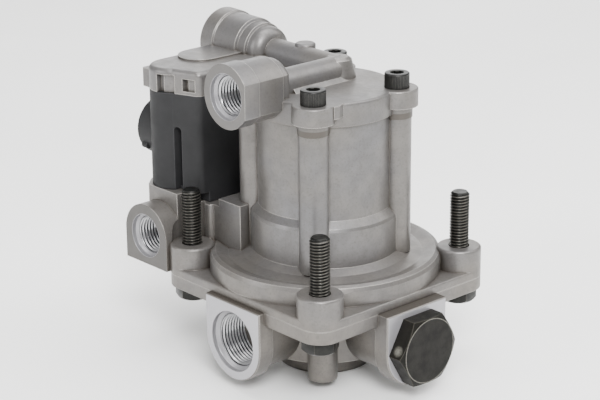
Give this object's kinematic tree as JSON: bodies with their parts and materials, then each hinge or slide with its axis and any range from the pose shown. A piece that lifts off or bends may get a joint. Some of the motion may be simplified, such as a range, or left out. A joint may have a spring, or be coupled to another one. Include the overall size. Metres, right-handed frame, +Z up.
{
  "type": "air brake relay valve",
  "caption": "Relay valve for air brakes: round cast body on a square flange with studs, side ports below, control ports on its cap and a black solenoid module at its side.",
  "frame": {"origin": "on the valve's axis, in the plane of the stud bosses' top faces", "axes": "+Z up along the studs and the valve's axis, -Y out of the supply port, -X towards the solenoid module"},
  "size_m": [0.1357, 0.098, 0.1332],
  "materials": {
    "cast_aluminium": "as cast, matt",
    "machined_aluminium": "turned",
    "black_steel": "black oxide",
    "dark_steel": "dark phosphated",
    "steel": "drawn",
    "brass": "turned",
    "copper_wire": "enamelled copper wire",
    "black_plastic": "moulded, matt",
    "black_rubber": "moulded, matt"
  },
  "bodies": {
    "root": {"armature_spring_front": "steel", "armature_spring_rear": "steel", "bobbin_front": "black_plastic", "bobbin_rear": "black_plastic", "cap": "cast_aluminium", "cap_screws": "black_steel", "cap_seal": "black_rubber", "connector_pins": "brass", "exhaust_flap": "black_rubber", "fixed_core_front": "steel", "fixed_core_rear": "steel", "flange_bolts": "black_steel", "guide_seal": "black_rubber", "guide_tube_front": "steel", "guide_tube_rear": "steel", "housing_seal": "black_rubber", "lower_housing": "cast_aluminium", "module_housing": "black_plastic", "module_lower_seal": "black_rubber", "module_upper_seal": "black_rubber", "nozzle_front": "brass", "nozzle_rear": "brass", "plug_seal": "black_rubber", "port_plug": "dark_steel", "relay_stem_seal": "black_rubber", "retaining_ring": "steel", "return_spring": "steel", "upper_housing": "cast_aluminium", "valve_guide": "black_plastic", "valve_spring": "steel", "valve_tube_seal": "black_rubber", "winding_front": "copper_wire", "winding_rear": "copper_wire", "yoke_plate": "steel"},
    "control_piston": {"control_piston": "machined_aluminium", "control_piston_seal": "black_rubber"},
    "relay_piston": {"relay_piston": "machined_aluminium", "relay_piston_seal": "black_rubber"},
    "inlet_valve": {"inlet_valve": "brass", "valve_disc": "black_rubber"},
    "armature_front": {"armature_front": "steel"},
    "armature_rear": {"armature_rear": "steel"}
  },
  "joints": [
    {"name": "relay_piston_slide", "type": "slide", "parent": "root", "child": "relay_piston", "axis": [0, 0, -1], "range_m": [0, 0.004], "stiffness_N_per_m": 2000, "springref_m": -0.004},
    {"name": "control_piston_slide", "type": "slide", "parent": "root", "child": "control_piston", "axis": [0, 0, -1], "range_m": [0, 0.004], "stiffness_N_per_m": 1500, "springref_m": -0.006, "deforming": ["return_spring"]},
    {"name": "inlet_valve_slide", "type": "slide", "parent": "root", "child": "inlet_valve", "axis": [0, 0, -1], "range_m": [0, 0.0025], "stiffness_N_per_m": 1500, "springref_m": -0.004, "deforming": ["valve_spring"]},
    {"name": "armature_front_slide", "type": "slide", "parent": "root", "child": "armature_front", "axis": [0, 0, 1], "range_m": [0, 0.0008], "stiffness_N_per_m": 800, "springref_m": -0.003, "deforming": ["armature_spring_front"]},
    {"name": "armature_rear_slide", "type": "slide", "parent": "root", "child": "armature_rear", "axis": [0, 0, 1], "range_m": [0, 0.0008], "stiffness_N_per_m": 800, "springref_m": -0.003, "deforming": ["armature_spring_rear"]}
  ],
  "couplings": [
    {"joint": "control_piston_slide", "follows": "relay_piston_slide", "ratio": 1},
    {"joint": "inlet_valve_slide", "follows": "relay_piston_slide", "ratio": 0.625}
  ]
}
